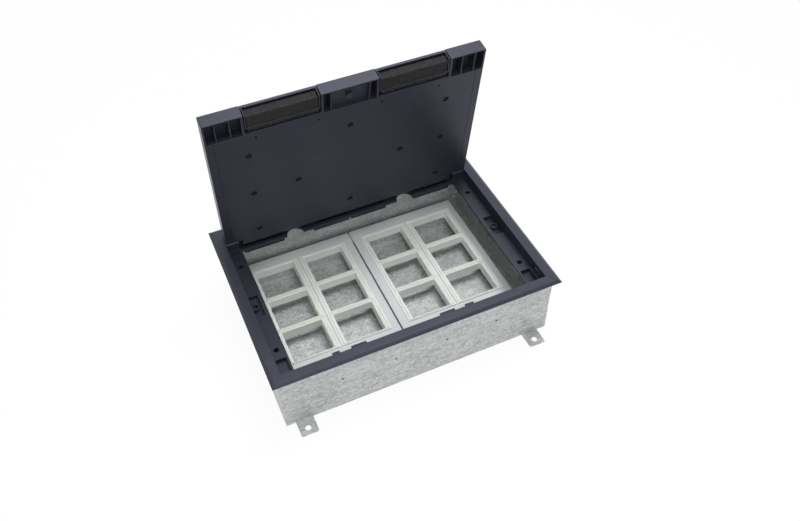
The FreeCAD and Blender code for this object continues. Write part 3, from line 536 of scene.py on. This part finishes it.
carve(master, "DIFFERENCE", (2 * mouth_x + rebate_x, 2 * mouth_y + rebate_y, 2 * rebate_deep),
      (0, 0, 0))
for side in (-1, 1):
    carve(master, "DIFFERENCE", (groove, deep - groove_less_y, groove_tall),
          (side * (wide / 2 - groove_in_x), 0, 0))
    carve(master, "DIFFERENCE", (wide - groove_less_x, groove, groove_tall),
          (0, side * (deep / 2 - groove_in_y), 0))
    for along in ribs:
        carve(master, "UNION", rib_size, (side * (mouth_x - rib_in), along * mm, rib_level))
soften(master, 0.18 * mm)
for line in (1, 2, 3):
    for column in (1, 2, 3, 4):
        label = "module_frame_%d_%d" % (line, column)
        low, high = (Vector(c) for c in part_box(label))
        middle = (low + high) / 2
        frame_piece = master.copy()
        frame_piece.data = master.data.copy()
        frame_piece.name = "snap_frame_%d_%d" % (line, column)
        frame_piece.data.transform(Matrix.Translation((middle.x, middle.y, high.z)))
        scene.collection.objects.link(frame_piece)
        settle(frame_piece, "base", cream, label)
bpy.data.objects.remove(master)

# Trim frame. A glass-filled moulding in dark graphite with a fine spark texture: the rim that
# laps the floor covering, the ledge that the lid shuts on, its pockets and hinge blocks, and
# four small tabs along the front of the ledge.
tabs = ((-93, -85), (-72, -55), (30, 47.5), (60, 70))       # mm from the middle of the box
tab_depth, tab_thick, tab_y, tab_z = 6, 3, -94, 69
plastic = Finish("graphite_plastic")
spark = plastic.noise(scale=2600, detail=2)
drift = plastic.noise(scale=22, detail=2)
scuff = plastic.noise(scale=180, detail=4, stretch=(0.25, 1, 1)).between(0.6, 0.8)
graphite = plastic.mix(drift, srgb(40, 41, 50), srgb(46, 47, 56))
# Rounded edges are painted a lighter grey, in patches that follow the drift noise.
round_edge = plastic.add("ShaderNodeBevel", {"samples": 4}, [("Radius", 0.0008)])
edge_lightening = plastic.vector("DOT_PRODUCT", (0, round_edge), (1, plastic.facing()), output=1)
edge_lightening = (1 - edge_lightening).between(0.02, 0.25) * drift
graphite = plastic.mix(scuff * 0.12 + edge_lightening * 0.5, graphite, srgb(92, 94, 106))
plastic.surface(colour=graphite, roughness=scuff * 0.1 + 0.36, specular=0.36,
                normal=plastic.bump(spark, strength=0.16, distance=0.0002))
plastic.feed(plastic.shell, [("Specular Tint", (0.74, 0.8, 1.0, 1))])
rim = from_cad("trim_frame", "trim_moulding")
for near, far in tabs:
    carve(rim, "UNION", ((far - near) * mm, tab_depth * mm, tab_thick * mm),
          ((near + far) / 2 * mm, tab_y * mm, tab_z * mm))
soften(rim, 0.25 * mm)
settle(rim, "base", plastic, "trim_frame")

# Frame and clamp screws. Black-zinc cheese heads sunk in the ledge hold the frame to the end
# walls; the two clamp screws turn the floor claws out.
black = Finish("black_zinc_plate")
bloom = black.noise(scale=500, detail=3)
rough = black.noise(scale=3000, detail=2)
black.surface(colour=black.mix(bloom, srgb(34, 34, 38), srgb(62, 62, 66)), metallic=0.75,
              roughness=bloom * 0.2 + 0.3, normal=black.bump(rough, strength=0.1, distance=0.0001))
low, high = islands("frame_screws")[0]
tall = (high.z - low.z) / mm
cheese = [(1.6, 0), (1.6, tall - 2.9), (2.7, tall - 2.9), (2.7, tall - 0.3), (2.4, tall)]
screws = screw_set("frame_screw_set", feet("frame_screws"), cheese, recess=3.2)
settle(screws, "base", black, "frame_screws")
for side in ("left", "right"):
    low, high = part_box("clamp_screw_" + side)
    tall = (high[2] - low[2]) / mm
    cheese = [(2.05, 0), (2.45, 0.4), (2.45, tall - 2.7), (2.9, tall - 2.7),
              (2.9, tall - 0.3), (2.6, tall)]
    foot = feet("clamp_screw_" + side)
    screws = screw_set("floor_clamp_screw_" + side, foot, cheese, recess=3.6)
    settle(screws, "clamp_" + side, black, "clamp_screw_" + side)

# Lid. The same graphite moulding with its rib cells open along the free edge, and a plain
# cover screwed over the ribs inside; a galvanised plate stiffens the floor-covering recess.
screw_foot = -1.5                       # mm; the level of the screws' buried ends, lid closed
lid_pan = [(1.5, 0), (1.5, 5.1), (2.9, 5.1), (3.1, 5.3), (3.1, 5.8), (2.6, 6.2)]
cover = from_cad("lid_shell", "lid_moulding")
soften(cover, 0.25 * mm)
settle(cover, "lid", plastic, "lid_shell")
lining = from_cad("lid_panel", "lid_lining")
soften(lining, 0.3 * mm)
settle(lining, "lid", plastic, "lid_panel")
stiffener = from_cad("lid_plate", "lid_stiffener")
soften(stiffener, sheet_edge)
settle(stiffener, "lid", zinc, "lid_plate")

hinge = next(j for j in frame["joints"] if j["name"] == "lid_hinge")
hinge_at = Vector(hinge["pos_m"])
lean = math.radians(-hinge["range_deg"][0])


def as_closed(point):
    """A point of the open lid, about the hinge axis and with the lid closed."""
    return Matrix.Rotation(lean, 3, "X") @ (point - hinge_at)


def as_open(point):
    """The other way round: where a point of the closed lid is on the open one."""
    return hinge_at + Matrix.Rotation(-lean, 3, "X") @ point


spots = []
for low, high in islands("lid_screws"):
    centre = as_closed((low + high) / 2)
    spots.append(as_open(Vector((centre.x, centre.y, screw_foot * mm))))
screws = screw_set("lid_screw_set", spots, lid_pan, recess=3.6, lean_back=math.pi - lean)
settle(screws, "lid", black, "lid_screws")

# Cable outlets. A thin graphite channel with small lips lines each, a dense open-cell foam
# block fills it and closes round the cables, and a small hinged flap with a rolled edge covers
# it outside. Places are about the hinge with the lid closed, the free edge towards -Y.
cheek_front, cheek_reach = -193, -6.4   # mm; the cheeks' front, and how much further it comes
lip_size, lips, lip_y, lip_z = (1.2 * mm, 22 * mm, 1 * mm), (31.63, 109.37), -187.5, 1.9
foam_front, foam_edge, foam_grid = -198.2 * mm, 0.9 * mm, 0.75 * mm
to_world = Matrix.Translation(hinge_at) @ Matrix.Rotation(-lean, 4, "X")
for side, way in (("left", -1), ("right", 1)):
    channel = from_cad("foam_holder_" + side, "outlet_channel_" + side)
    channel.data.transform(to_world.inverted())
    shift(channel, lambda co: co.y < cheek_front * mm, (0, cheek_reach * mm, 0))
    for lip in lips:
        carve(channel, "UNION", lip_size, (way * lip * mm, lip_y * mm, lip_z * mm))
    channel.data.transform(to_world)
    soften(channel, 0.15 * mm)
    settle(channel, "lid", plastic, "foam_holder_" + side)
    flap = from_cad("cable_flap_" + side, "outlet_flap_" + side)
    soften(flap, 0.25 * mm)
    settle(flap, "flap_" + side, plastic, "cable_flap_" + side)

foam = Finish("open_cell_foam")
pore = foam.add("ShaderNodeTexVoronoi", {"feature": "F1"},
                [("Vector", foam.place()), ("Scale", 900)])
strut = foam.noise(scale=1400, detail=3)
# The pore hollows sink in the bump and are painted darker too: painted shade in the pores.
pore_depth_and_shade = (pore * 1.1 + strut * 0.6).between(0.35, 1.0)
foam.surface(colour=foam.mix(pore_depth_and_shade, srgb(20, 20, 21), srgb(54, 54, 55)), roughness=0.95,
             specular=0.15, normal=foam.bump(pore_depth_and_shade, strength=0.7, distance=0.0006))
bubbles = bpy.data.textures.new("foam_cells", "VORONOI")
bubbles.noise_scale = 0.0016
bubbles.distance_metric = "DISTANCE"
for side in ("left", "right"):
    corners = [as_closed(v.co) for v in nodes["foam_" + side].data.vertices]
    low = Vector([min(c[i] for c in corners) for i in range(3)])
    high = Vector([max(c[i] for c in corners) for i in range(3)])
    low.y = foam_front
    seal = block(high - low, (low + high) / 2)
    seal.name = "foam_seal_" + side
    soften(seal, foam_edge)
    alone(seal)
    for axis, facing in enumerate(((1, 0, 0), (0, 1, 0), (0, 0, 1))):
        cuts = round((high[axis] - low[axis]) / foam_grid)
        for number in range(1, cuts):
            spot = list(low)
            spot[axis] = low[axis] + (high[axis] - low[axis]) * number / cuts
            cut_through(seal, spot, facing)
    apply(seal, "DISPLACE", texture=bubbles, texture_coords="LOCAL", strength=0.0011,
          mid_level=1.0)
    seal.data.transform(to_world)
    bpy.ops.object.shade_smooth()
    settle(seal, "lid", foam, "foam_" + side)

low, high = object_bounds()
